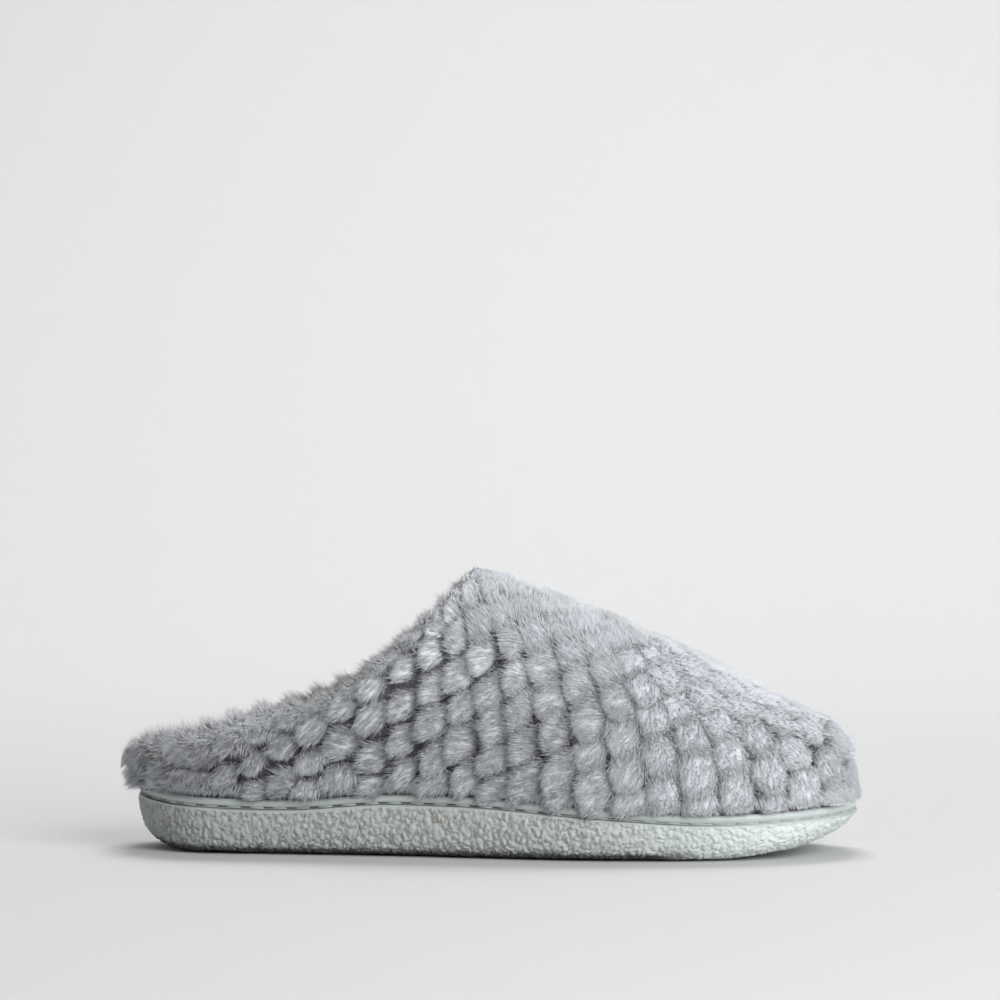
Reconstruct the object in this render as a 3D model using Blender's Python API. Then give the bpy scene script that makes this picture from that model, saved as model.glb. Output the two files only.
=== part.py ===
"""A right house slipper: a tufted plush upper, open at the heel side of the instep, on a moulded cup sole.

The sole is one moulding with a stitched lip round its top edge and a shallow tray inside the lip.
The upper's wall stands in that tray, and the insole lies inside the upper's wall.
+X points to the toe, +Y to the inner side of the foot and +Z up, from the floor under the middle of the slipper.
Sizes are in millimetres, and solid() turns them into Blender's metres.
"""

import math
from typing import NamedTuple

import bmesh
import bpy
import numpy as np

# Driving sizes of the whole slipper
SOLE_LENGTH = 256.0
HEEL_ROUND = 34.0  # length of the round heel end in plan
TOE_ROUND = 62.0  # length of the round toe end in plan
TOE_SQUARENESS = 2.25  # 2 is an ellipse, more is blunter
SEAT_GAP = 0.35  # air between pieces that touch

# How finely curves are followed before they are cut into points
OUTLINE_SAMPLES = 361
ARCH_SAMPLES = 241
SHARP_ANGLE = math.radians(50)
METRES = 0.001


class Section(NamedTuple):
    """One cross-section of the slipper."""

    place: str
    along: float  # from the back of the sole
    half_width: float  # of the sole, before its ends are rounded
    middle: float  # of the sole, towards the inner side
    lip: float  # top of the sole's lip above the floor
    tread: float  # underside of the sole above the floor
    roll: float  # how much wider than usual the sole's bottom edge is rolled
    ridge: float  # inside of the upper along its top line above the floor
    squareness: float  # of the upper's arch: 2 is an ellipse, more is boxier
    pile: float  # height of the plush tufts on the upper's backing


SECTIONS = (
    Section("heel back", 0.0, 32.5, 0.0, 23.0, 4.0, 1.2, 98.0, 2.4, 8.4),
    Section("heel seat", 24.0, 33.5, 0.0, 20.3, 0.0, 1.0, 98.0, 2.4, 8.0),
    Section("heel breast", 58.0, 34.0, -0.6, 19.5, 0.0, 1.0, 97.0, 2.4, 6.8),
    Section("waist", 96.0, 36.0, -1.6, 22.0, 0.0, 1.0, 95.0, 2.3, 6.4),
    Section("throat", 120.0, 39.5, -1.8, 21.7, 0.0, 1.0, 91.3, 2.15, 6.2),
    Section("ball", 168.0, 46.5, -0.6, 18.2, 0.0, 1.0, 75.2, 2.15, 6.0),
    Section("toe root", 206.0, 45.4, 1.6, 16.1, 0.0, 1.0, 56.2, 2.4, 5.6),
    Section("toe cap", 232.0, 44.0, 3.2, 16.8, 2.4, 1.3, 45.0, 3.0, 5.0),
    Section("toe tip", SOLE_LENGTH, 42.0, 4.0, 18.6, 9.0, 2.4, 42.0, 3.6, 4.4),
)


class CollarPoint(NamedTuple):
    """One point of the collar, the inside edge of the foot opening, seen from the side."""

    along: float
    height: float


COLLAR = (
    CollarPoint(0.0, 32.0),
    CollarPoint(12.0, 35.2),
    CollarPoint(28.0, 38.6),
    CollarPoint(52.0, 46.0),
    CollarPoint(70.0, 52.0),
    CollarPoint(84.0, 59.0),
    CollarPoint(95.0, 68.0),
    CollarPoint(107.0, 78.5),
    CollarPoint(121.0, 92.6),
)
THROAT = COLLAR[-1].along  # the front of the foot opening, on the ridge


class SoleEdge(NamedTuple):
    """One corner of the sole's side, from the tread up over the lip and down into the tray."""

    place: str
    inset: float  # inwards from the sole's outline
    roll_inset: float  # the same, but growing with the section's roll
    wall_share: float  # of the height from tread to lip
    from_lip: float  # added to that height


LIP_DEPTH = 3.0  # from the lip's top down to the tray
TRAY_INSET = 3.2
SOLE_EDGES = (
    SoleEdge("tread edge", 0.0, 9.0, 0.0, 0.0),
    SoleEdge("tread roll", 0.0, 5.2, 0.04, 0.0),
    SoleEdge("edge roll", 0.0, 2.6, 0.15, 0.0),
    SoleEdge("lower wall", 0.0, 1.1, 0.33, 0.0),
    SoleEdge("wall swell", 0.1, 0.0, 0.62, 0.0),
    SoleEdge("wall top", 0.0, 0.0, 1.0, -3.9),
    SoleEdge("groove lower edge", 0.5, 0.0, 1.0, -3.3),
    SoleEdge("groove root", 1.7, 0.0, 1.0, -3.0),
    SoleEdge("lip lower edge", 0.9, 0.0, 1.0, -2.4),
    SoleEdge("lip side", 0.7, 0.0, 1.0, -1.0),
    SoleEdge("lip crown", 1.5, 0.0, 1.0, 0.0),
    SoleEdge("lip inner edge", TRAY_INSET, 0.0, 1.0, -0.2),
    SoleEdge("tray", TRAY_INSET, 0.0, 1.0, -LIP_DEPTH),
)
SOLE_POINTS = 46  # along each side

# Insole
INSOLE_INSET = 7.9
INSOLE_THICKNESS = 4.5
INSOLE_DISH = 1.6  # how far its middle lies below its edge
INSOLE_ROLL = 1.4  # rounding of its top edge
INSOLE_POINTS = 30  # along each side
INSOLE_STRIPS = 6  # across

# Upper: a backing with tufts in upright columns, each column half a tuft out of step with its neighbours
BACKING = 3.0  # wall without its tufts
UPPER_INSET = TRAY_INSET + 0.5 + BACKING
TUFT_COLUMNS = 25  # along each side, from heel back to toe tip
HEEL_CROWDING = 0.14  # how much closer than on average the columns at the heel stand
TUFT_PITCH = 11.8  # up each column
POINTS_ACROSS_TUFT = 3
POINTS_UP_TUFT = 4
TUFT_SQUARENESS = 4.0
TUFT_FLOOR = 0.16  # share of the pile that stays in the gaps between tufts
TUFT_SPREAD = 0.14  # how much tufts differ in height
TUFT_SEED = 11
LINING_STEP = 9.0  # up the inside of the wall
COLLAR_PILE = 0.75  # share of the pile at the collar
COLLAR_BEAD = 3.4  # how far the turned plush stands above the collar's edge
HEEL_SPINE = 40.0  # where the heel columns lean to, from the back of the sole
THROAT_FOOT = 148.0  # where the column that ends at the throat stands on the sole
TOE_SPINE = 226.0  # where the toe tip's column meets the ridge


def through(rows, column, along):
    """A table's column at any places along the slipper: a cubic through its rows that never overshoots."""
    x = np.array([row.along for row in rows])
    y = np.array([getattr(row, column) for row in rows])
    rise = np.diff(y) / np.diff(x)
    product, total = rise[:-1] * rise[1:], rise[:-1] + rise[1:]
    turn = np.where(product > 0, 2 * product / np.where(total == 0, 1, total), 0)
    slope = np.concatenate([rise[:1], turn, rise[-1:]])
    inside = np.clip(along, x[0], x[-1])
    i = np.clip(np.searchsorted(x, inside, side="right") - 1, 0, len(rise) - 1)
    step = x[i + 1] - x[i]
    t = (inside - x[i]) / step
    from_left = y[i] * (1 + 2 * t) * (1 - t) ** 2 + step * slope[i] * t * (1 - t) ** 2
    from_right = y[i + 1] * (3 - 2 * t) * t**2 - step * slope[i + 1] * (1 - t) * t**2
    return from_left + from_right


def half_width(along):
    """Half the sole's width, with its round heel and toe ends."""
    back = np.clip(1 - along / HEEL_ROUND, 0, 1)
    front = np.clip(1 - (SOLE_LENGTH - along) / TOE_ROUND, 0, 1)
    heel_end = np.sqrt(1 - back**2)
    toe_end = (1 - front**TOE_SQUARENESS) ** (1 / TOE_SQUARENESS)
    return through(SECTIONS, "half_width", along) * heel_end * toe_end


def evenly(path, count, crowding=0.0):
    """Points along the path, with its ends: at equal distances, or closer at its start by the crowding."""
    steps = np.linalg.norm(np.diff(path, axis=0), axis=1)
    length = np.concatenate([[0], np.cumsum(steps)])
    share = np.linspace(0, 1, count + 1)
    places = length[-1] * (share - crowding * share * (1 - share))
    return np.stack([np.interp(places, length, axis) for axis in path.T], axis=1)


def outline_sides(count, inset, roll_inset=0.0, crowding=0.0):
    """The sole's plan moved inwards, as the outer and the inner side, each from heel back to toe tip."""
    turn = np.linspace(0, math.pi, OUTLINE_SAMPLES)
    along = SOLE_LENGTH * (1 - np.cos(turn)) / 2
    middle = through(SECTIONS, "middle", along)
    outer = np.stack([along, middle - half_width(along)], axis=1)
    inner = np.stack([along, middle + half_width(along)], axis=1)
    loop = np.concatenate([outer, inner[-2:0:-1]])
    ahead = np.roll(loop, -1, axis=0) - np.roll(loop, 1, axis=0)
    inward = np.stack([-ahead[:, 1], ahead[:, 0]], axis=1) / np.linalg.norm(ahead, axis=1, keepdims=True)
    depth = inset + roll_inset * through(SECTIONS, "roll", loop[:, 0])
    loop = loop + inward * depth[:, None]
    tip = len(turn) - 1
    back_to_heel = np.concatenate([loop[tip:], loop[:1]])
    return evenly(loop[: tip + 1], count, crowding), evenly(back_to_heel[::-1], count, crowding)


def outline_loop(count, inset, roll_inset=0.0):
    """The same plan as one closed loop from heel back, round the toe."""
    outer, inner = outline_sides(count, inset, roll_inset)
    return np.concatenate([outer, inner[-2:0:-1]])


def raised(plan, height):
    """Plan points lifted to a height each."""
    return np.column_stack([plan, np.broadcast_to(height, len(plan))])


class Shell:
    """Points and triangles of one solid. Points at the same place are one point."""

    def __init__(self):
        self.points = []
        self.faces = []
        self.known = {}

    def add(self, points):
        """Ids of the points, new or known."""
        ids = []
        for point in points:
            key = tuple(np.round(point, 5))
            if key not in self.known:
                self.known[key] = len(self.points)
                self.points.append(np.array(point, float))
            ids.append(self.known[key])
        return ids

    def face(self, *ids):
        if len(set(ids)) == len(ids):
            self.faces.append(ids)

    def zip(self, left, right, left_places, right_places):
        """Triangles between two lines of points, each stepping to whichever next point comes first."""
        i = j = 0
        while i + 1 < len(left) or j + 1 < len(right):
            left_next = left_places[i + 1] if i + 1 < len(left) else math.inf
            right_next = right_places[j + 1] if j + 1 < len(right) else math.inf
            if left_next <= right_next:
                self.face(left[i], left[i + 1], right[j])
                i += 1
            else:
                self.face(left[i], right[j + 1], right[j])
                j += 1

    def rings(self, loops):
        """Quads between closed loops with equal counts."""
        for low, high in zip(loops, loops[1:]):
            for a in range(len(low)):
                b = (a + 1) % len(low)
                self.face(low[a], low[b], high[b], high[a])

    def lid(self, loop):
        """A closed loop filled by strips from its outer to its inner side."""
        last = len(loop) // 2
        for a in range(last):
            across, next_across = loop[-a], loop[-a - 1]
            ids = [loop[a], loop[a + 1], next_across, across]
            self.face(*dict.fromkeys(ids))


def solid(name, shell, colour, roughness):
    """A named object from a closed shell, with its faces turned outwards, its own material and smooth shading."""
    mesh = bpy.data.meshes.new(name)
    mesh.from_pydata([tuple(p * METRES) for p in shell.points], [], shell.faces)
    build = bmesh.new()
    build.from_mesh(mesh)
    bmesh.ops.recalc_face_normals(build, faces=build.faces)
    if build.calc_volume(signed=True) < 0:
        bmesh.ops.reverse_faces(build, faces=build.faces)
    build.to_mesh(mesh)
    build.free()
    mesh.shade_smooth()
    mesh.set_sharp_from_angle(angle=SHARP_ANGLE)
    material = bpy.data.materials.new(name)
    material.use_nodes = True
    shader = material.node_tree.nodes["Principled BSDF"]
    shader.inputs["Base Color"].default_value = (*colour, 1)
    shader.inputs["Roughness"].default_value = roughness
    mesh.materials.append(material)
    piece = bpy.data.objects.new(name, mesh)
    bpy.context.scene.collection.objects.link(piece)
    return piece


def make_outsole():
    """The moulded sole: tread, rolled edge, swelling wall, stitching groove, lip and tray."""
    shell = Shell()
    loops = []
    for edge in SOLE_EDGES:
        plan = outline_loop(SOLE_POINTS, edge.inset, edge.roll_inset)
        lip = through(SECTIONS, "lip", plan[:, 0])
        tread = through(SECTIONS, "tread", plan[:, 0])
        height = tread + (lip - tread) * edge.wall_share + edge.from_lip
        loops.append(shell.add(raised(plan, height)))
    shell.rings(loops)
    shell.lid(loops[0])
    shell.lid(loops[-1])
    return solid("outsole", shell, colour=(0.62, 0.68, 0.65), roughness=0.6)


def tray_height(along):
    return through(SECTIONS, "lip", along) - LIP_DEPTH


def make_insole():
    """The padded insole on the tray, dished for the foot."""
    shell = Shell()
    edges = (
        (INSOLE_INSET, SEAT_GAP),
        (INSOLE_INSET, INSOLE_THICKNESS - INSOLE_ROLL),
        (INSOLE_INSET + INSOLE_ROLL, INSOLE_THICKNESS),
    )
    loops = []
    for inset, above_tray in edges:
        plan = outline_loop(INSOLE_POINTS, inset)
        loops.append(shell.add(raised(plan, tray_height(plan[:, 0]) + above_tray)))
    shell.rings(loops)
    shell.lid(loops[0])

    outer, inner = outline_sides(INSOLE_POINTS, INSOLE_INSET + INSOLE_ROLL)
    strips = []
    for share in np.linspace(0, 1, INSOLE_STRIPS + 1):
        plan = outer + (inner - outer) * share
        dish = INSOLE_DISH * (1 - (2 * share - 1) ** 2)
        width = np.linalg.norm(inner - outer, axis=1)
        dish = dish * np.minimum(1, width / HEEL_ROUND)
        strips.append(shell.add(raised(plan, tray_height(plan[:, 0]) + INSOLE_THICKNESS - dish)))
    for low, high in zip(strips, strips[1:]):
        for a in range(INSOLE_POINTS):
            ids = [low[a], low[a + 1], high[a + 1], high[a]]
            shell.face(*dict.fromkeys(ids))
    return solid("insole", shell, colour=(0.36, 0.35, 0.37), roughness=0.95)


class Column(NamedTuple):
    """One line up the inside of the upper's wall, from the tray to the collar or to the ridge."""

    number: int  # along its side, in points
    points: np.ndarray
    climb: np.ndarray  # distance of each point up the wall


def wall_columns(foot_points, spine_points):
    """Columns that arch from the wall's foot to the spine, cut off where they rise above the collar."""
    turn = np.linspace(0, math.pi / 2, ARCH_SAMPLES)
    columns = []
    for number, (foot, spine) in enumerate(zip(foot_points, spine_points)):
        bend = 2 / through(SECTIONS, "squareness", foot[0])
        inwards = 1 - np.cos(turn) ** bend
        inwards[-1] = 1
        upwards = np.sin(turn) ** bend
        plan = foot + (spine - foot) * inwards[:, None]
        outward = (foot - spine) / np.linalg.norm(foot - spine)
        under_wall = tray_height(foot[0] + outward[0] * np.array([0, BACKING]))
        base = under_wall.max() + SEAT_GAP
        height = base + (through(SECTIONS, "ridge", plan[:, 0]) - base) * upwards
        collar = np.where(plan[:, 0] < THROAT, through(COLLAR, "height", plan[:, 0]), math.inf)
        path = np.column_stack([plan, height])
        above = np.flatnonzero(height > collar)
        if len(above):
            cut = above[0]
            over, under = height[cut] - collar[cut], collar[cut - 1] - height[cut - 1]
            share = under / (under + over)
            edge = path[cut - 1] + (path[cut] - path[cut - 1]) * share
            path = np.vstack([path[:cut], edge])
        climb = np.concatenate([[0], np.cumsum(np.linalg.norm(np.diff(path, axis=0), axis=1))])
        columns.append(Column(number, path, climb))
    return columns


def rows_up(column, step):
    """The column's points at equal steps up the wall, and at its end."""
    places = np.arange(0, column.climb[-1] - step / 2, step)
    places = np.append(places, column.climb[-1])
    points = np.stack([np.interp(places, column.climb, axis) for axis in column.points.T], axis=1)
    return column._replace(points=points, climb=places)


def upper_sides():
    """The columns of the upper's outer and inner side. Both sides meet at the heel, the ridge and the toe."""
    outer, inner = outline_sides(TUFT_COLUMNS * POINTS_ACROSS_TUFT, UPPER_INSET, crowding=HEEL_CROWDING)
    throat_number = int(np.argmin(np.abs(outer[:, 0] - THROAT_FOOT)))
    numbers = np.arange(len(outer))
    along = np.interp(numbers, (0, throat_number, len(outer) - 1), (HEEL_SPINE, THROAT, TOE_SPINE))
    spine = np.stack([along, through(SECTIONS, "middle", along)], axis=1)
    return wall_columns(outer, spine), wall_columns(inner, spine)


def pillow(phase):
    """0 in the gaps at whole phases, rising quickly to 1 between them."""
    return 1 - abs(2 * (phase % 1) - 1) ** TUFT_SQUARENESS


def tuft_height(column, point, climb, is_end, vary):
    """How far the plush stands out from the backing at a point of the wall."""
    tuft_column = column.number / POINTS_ACROSS_TUFT
    step = TUFT_PITCH / POINTS_UP_TUFT
    up = (climb - step) / TUFT_PITCH + 0.5 * (int(tuft_column) % 2)
    above_lip = min(1, max(0, climb / step - 1))
    size = 1 + TUFT_SPREAD * vary[int(tuft_column) % TUFT_COLUMNS, int(up) % len(vary[0])]
    relief = TUFT_FLOOR + (1 - TUFT_FLOOR) * pillow(tuft_column) * pillow(up) * size
    if is_end:
        relief = COLLAR_PILE
    return above_lip * relief * float(through(SECTIONS, "pile", point[0]))


def point_normals(shell, inside):
    """Unit normals of an open shell's points, pointing away from a place inside it."""
    points, normals = np.array(shell.points), np.zeros((len(shell.points), 3))
    for a, b, c in shell.faces:
        flat = np.cross(points[b] - points[a], points[c] - points[a])
        if flat @ (points[a] - inside) < 0:
            flat = -flat
        normals[[a, b, c]] += flat
    return normals / np.linalg.norm(normals, axis=1, keepdims=True)


def sheet_of(shell, sides, step):
    """The wall's sheet through the columns' rows. Returns the ids of each column's points, side by side."""
    ids = []
    for side in sides:
        rows = [rows_up(column, step) for column in side]
        side_ids = [shell.add(column.points) for column in rows]
        for (a, a_ids), (b, b_ids) in zip(zip(rows, side_ids), zip(rows[1:], side_ids[1:])):
            shell.zip(a_ids, b_ids, a.climb, b.climb)
        ids.append(side_ids)
    return ids


def edge_loops(ids):
    """The foot of the wall and its collar as closed loops of ids, from the heel back."""
    outer, inner = ids
    foot = [c[0] for c in outer] + [c[0] for c in inner[-2:0:-1]]
    shared = [a[-1] == b[-1] for a, b in zip(outer, inner)]
    throat = shared.index(True, 1)
    collar = [c[-1] for c in outer[: throat + 1]] + [c[-1] for c in inner[throat - 1 : 0 : -1]]
    return foot, collar


def make_upper():
    """The plush upper: a backing lined inside and tufted outside, closed at its foot and its turned collar."""
    sides = upper_sides()
    heart = np.array([SOLE_LENGTH / 2, 0.0, tray_height(SOLE_LENGTH / 2) + BACKING])
    vary = np.random.default_rng(TUFT_SEED).uniform(-1, 1, (TUFT_COLUMNS, POINTS_ACROSS_TUFT * TUFT_COLUMNS))

    step = TUFT_PITCH / POINTS_UP_TUFT
    plush = Shell()
    ids = sheet_of(plush, sides, step)
    foot, collar = edge_loops(ids)
    normals = point_normals(plush, heart)
    thick = np.zeros(len(plush.points))
    for side, side_ids in zip(sides, ids):
        for column, column_ids in zip(side, side_ids):
            rows = rows_up(column, step)
            for place, (point, climb) in enumerate(zip(rows.points, rows.climb)):
                is_end = column_ids[place] in collar
                thick[column_ids[place]] = BACKING + tuft_height(column, point, climb, is_end, vary)

    edge = np.array(plush.points)[collar]
    run = np.roll(edge, -1, axis=0) - np.roll(edge, 1, axis=0)
    out_of_edge = np.cross(normals[collar], run)
    out_of_edge *= np.sign(out_of_edge[0, 2]) / np.linalg.norm(out_of_edge, axis=1, keepdims=True)
    half_out = normals[collar] * thick[collar, None] / 2
    bead = edge + half_out + COLLAR_BEAD * out_of_edge

    plush.points = list(np.array(plush.points) + normals * thick[:, None])
    plush.known = {}
    bead_ids = plush.add(bead)
    plush.rings([collar, bead_ids])

    lined_sides = [side[::POINTS_ACROSS_TUFT] for side in sides]
    lining_ids = sheet_of(plush, lined_sides, LINING_STEP)
    lining_foot, lining_collar = edge_loops(lining_ids)
    for outside, inside in ((foot, lining_foot), (bead_ids, lining_collar)):
        outside, inside = outside + outside[:1], inside + inside[:1]
        plush.zip(outside, inside, np.linspace(0, 1, len(outside)), np.linspace(0, 1, len(inside)))
    return solid("upper", plush, colour=(0.42, 0.43, 0.46), roughness=0.95)


def centre_on_floor(pieces):
    """Moves the pieces so that the origin lies on the floor under the middle of their box."""
    corners = np.array([v.co for piece in pieces for v in piece.data.vertices])
    low, high = corners.min(axis=0), corners.max(axis=0)
    for piece in pieces:
        for vertex in piece.data.vertices:
            vertex.co.x -= (low[0] + high[0]) / 2
            vertex.co.y -= (low[1] + high[1]) / 2
            vertex.co.z -= low[2]


def main():
    for old in list(bpy.data.objects):
        bpy.data.objects.remove(old)
    centre_on_floor([make_outsole(), make_insole(), make_upper()])


main()
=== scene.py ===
"""Looks of a plush house slipper: crepe rubber cup sole, stitched lip, pile insole and tufted upper."""

import math

import bmesh
import bpy
import numpy as np
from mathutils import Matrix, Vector, kdtree, noise
from mathutils.bvhtree import BVHTree


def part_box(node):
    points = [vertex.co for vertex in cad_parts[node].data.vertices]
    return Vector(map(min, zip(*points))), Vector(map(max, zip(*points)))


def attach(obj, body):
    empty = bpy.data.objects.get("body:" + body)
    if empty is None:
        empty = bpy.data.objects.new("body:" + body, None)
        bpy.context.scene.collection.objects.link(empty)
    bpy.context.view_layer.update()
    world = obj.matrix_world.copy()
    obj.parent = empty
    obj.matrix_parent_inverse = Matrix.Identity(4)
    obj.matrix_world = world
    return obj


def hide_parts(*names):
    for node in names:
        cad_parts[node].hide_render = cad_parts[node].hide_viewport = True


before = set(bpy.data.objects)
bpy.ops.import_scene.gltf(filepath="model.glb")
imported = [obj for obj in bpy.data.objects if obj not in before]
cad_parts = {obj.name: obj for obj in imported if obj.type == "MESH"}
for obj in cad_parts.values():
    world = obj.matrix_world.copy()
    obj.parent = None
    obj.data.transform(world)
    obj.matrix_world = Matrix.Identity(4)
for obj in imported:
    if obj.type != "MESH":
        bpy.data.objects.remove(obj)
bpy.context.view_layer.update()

# Outsole: one cup of pale grey-green foamed rubber, moulded in a split mould.
# Its side is crinkled like crepe, and the lip above the stitching groove is smooth and a little glossy.
# It starts from the CAD sole, rounded once, with the crinkles pushed into its side.
MM = 0.001
CRINKLE_SIZE = 1.75 * MM
CRINKLE_STRETCH = 0.6  # crinkles stand taller than they are wide
CRINKLE_RELIEF = 0.8 * MM
CRINKLE_SEED = 5
PAINTED_LIGHT_ALONG = ((0.0, 0.7), (0.4, 0.94), (0.65, 1.02), (0.86, 1.42), (1.0, 1.5))  # painted light: from heel to toe, paler where the light from the toe's side falls
PAINTED_LIGHT_SCALE = 3.6  # such scales in a metre
WALL_CUTS = 6
WALL_TOP = 3.9 * MM  # below the lip's top, as are the crepe and the groove
CREPE_START, CREPE_FULL = 3.7 * MM, 4.6 * MM
GROOVE_START, GROOVE_FULL, GROOVE_FADES, GROOVE_END = 2.3 * MM, 2.7 * MM, 3.3 * MM, 3.7 * MM
END_SHARE = 0.35  # how far the way out of the side turns to heel and toe
LIP_LENGTHWAYS, LIP_ACROSS = 0.985, 0.965  # the lip's crown, as shares of the sole's outline
ABOVE = 0.2  # a height over the whole slipper, to look down from
SAME_PLACE = 0.001 * MM  # points this close are one point
RUBBER = (0.5, 0.545, 0.54)
# The crinkles' hollows are drawn darker and browner: painted shade.
RUBBER_HOLLOW = (0.25, 0.225, 0.175)
RUBBER_LIP = (0.46, 0.51, 0.495)
RUBBER_PAINTED_SHADE = (0.06, 0.058, 0.05)  # painted shade in the stitching groove and painted shadow under the edge


def only(piece):
    """Makes one piece the selected and active one."""
    bpy.ops.object.select_all(action="DESELECT")
    piece.select_set(True)
    bpy.context.view_layer.objects.active = piece


def cad_copy(node, name):
    """A piece that starts as a CAD node's shape, with its triangles joined and paired into quads."""
    piece = bpy.data.objects.new(name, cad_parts[node].data.copy())
    bpy.context.scene.collection.objects.link(piece)
    piece.data.materials.clear()
    only(piece)
    bpy.ops.object.mode_set(mode="EDIT")
    bpy.ops.mesh.select_all(action="SELECT")
    bpy.ops.mesh.remove_doubles(threshold=SAME_PLACE)
    bpy.ops.mesh.tris_convert_to_quads(face_threshold=math.radians(80), shape_threshold=math.radians(80))
    bpy.ops.object.mode_set(mode="OBJECT")
    return piece


def rounded(piece, levels, sharp_degrees):
    """Rounds a piece with Subdivision Surface, keeping its sharp corners tight."""
    edit = bmesh.new()
    edit.from_mesh(piece.data)
    crease = edit.edges.layers.float.new("crease_edge")
    for edge in edit.edges:
        if edge.calc_face_angle(0) > math.radians(sharp_degrees):
            edge[crease] = 0.7
    edit.to_mesh(piece.data)
    edit.free()
    smooth = piece.modifiers.new("round", "SUBSURF")
    smooth.levels = smooth.render_levels = levels
    only(piece)
    bpy.ops.object.modifier_apply(modifier="round")


def coordinates(mesh):
    """The mesh's points as one array."""
    points = np.empty(len(mesh.vertices) * 3)
    mesh.vertices.foreach_get("co", points)
    return points.reshape(-1, 3)


def smoothstep(low, high, value):
    share = np.clip((value - low) / (high - low), 0, 1)
    return share * share * (3 - 2 * share)


sole = cad_copy("outsole", "sole_cup")
rounded(sole, 1, 32)
floor_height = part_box("outsole")[0].z
sole_faces = [polygon.vertices[:] for polygon in sole.data.polygons]
lip_tree = BVHTree.FromPolygons([vertex.co for vertex in sole.data.vertices], sole_faces)


def lip_top(point):
    """Height of the lip nearest to a point of the sole's side, found from above."""
    inward = Vector((point.x * LIP_LENGTHWAYS, point.y * LIP_ACROSS, ABOVE))
    hit = lip_tree.ray_cast(inward, Vector((0, 0, -1)))
    return hit[0].z if hit[0] else point.z


def way_out(point):
    """The level direction from the middle of the sole out through a point of its side."""
    return Vector((point.x * END_SHARE, point.y, 0)).normalized()


edit = bmesh.new()
edit.from_mesh(sole.data)
wall = []
for face in edit.faces:
    centre, normal = face.calc_center_median(), face.normal
    on_side = -0.93 < normal.z < 0.35 and normal.dot(way_out(centre)) > 0.1
    if on_side and lip_top(centre) - centre.z > WALL_TOP:
        wall.append(face)
edges = list(dict.fromkeys(edge for face in wall for edge in face.edges))
bmesh.ops.subdivide_edges(edit, edges=edges, cuts=WALL_CUTS, use_grid_fill=True, smooth=0.6)
edit.normal_update()
hollow_layer = edit.verts.layers.float.new("hollow")
crepe_layer = edit.verts.layers.float.new("crepe")
painted_shade_layer = edit.verts.layers.float.new("dark")
noise.seed_set(CRINKLE_SEED)
for vertex in edit.verts:
    normal = vertex.normal
    facing_out = normal.dot(way_out(vertex.co))
    below_lip = lip_top(vertex.co) - vertex.co.z
    side = smoothstep(CREPE_START, CREPE_FULL, below_lip) * smoothstep(-0.2, 0.2, facing_out)
    side *= smoothstep(floor_height + 0.05 * MM, floor_height + 1.2 * MM, vertex.co.z)
    vertex[crepe_layer] = side
    # Painted shade in the stitching groove, and painted shadow under the edge where its faces turn down.
    channel = smoothstep(GROOVE_START, GROOVE_FULL, below_lip)
    channel *= smoothstep(GROOVE_END, GROOVE_FADES, below_lip)
    channel *= 1 - 0.85 * smoothstep(0.06, 0.105, vertex.co.x)  # the groove's painted shade fades round the toe
    underneath = smoothstep(-0.5, -0.85, normal.z) * smoothstep(0.08, 0.06, vertex.co.x)
    vertex[painted_shade_layer] = max(underneath, channel * smoothstep(0.2, 0.4, facing_out))
    if side == 0:
        continue
    place = Vector((vertex.co.x, vertex.co.y, vertex.co.z * CRINKLE_STRETCH)) / CRINKLE_SIZE
    place.z += 0.5 * noise.noise(place * 0.45)
    place += noise.noise_vector(place * 0.8) * 0.55
    place += noise.noise_vector(place * 2.1) * 0.2
    near, second = noise.voronoi(place)[0][:2]
    rise = min(1.0, (second - near) / 0.55)
    joined = smoothstep(-0.5, 0.0, noise.noise(place * 0.9 + Vector((7, 3, 1))))
    rise = 1 - (1 - rise) ** 2 * (0.45 + 0.55 * joined)
    lumps = noise.noise(place * 1.3) * 0.35 + noise.noise(place * 3.1) * 0.15
    # The hollows' painted shade fades towards the toe.
    fades_to_toe = 1 - 0.5 * smoothstep(0.03, 0.1, vertex.co.x)
    vertex[hollow_layer] = side * (1 - rise) * fades_to_toe
    vertex.co += normal * side * CRINKLE_RELIEF * (rise + lumps - 0.75)
edit.to_mesh(sole.data)
edit.free()
sole.data.shade_smooth()


class Value:
    """A number that varies over a surface. Sums and products of it become Math nodes."""

    def __init__(self, finish, socket):
        self.finish, self.socket = finish, socket

    def maths(self, operation, first, second):
        return self.finish.add("Math", {"operation": operation}, {0: first, 1: second})["Value"]

    def __add__(self, other):
        return self.maths("ADD", self, other)

    def __radd__(self, other):
        return self.maths("ADD", other, self)

    def __rsub__(self, other):
        return self.maths("SUBTRACT", other, self)

    def __mul__(self, other):
        return self.maths("MULTIPLY", self, other)

    def __pow__(self, other):
        return self.maths("POWER", self, other)


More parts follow.
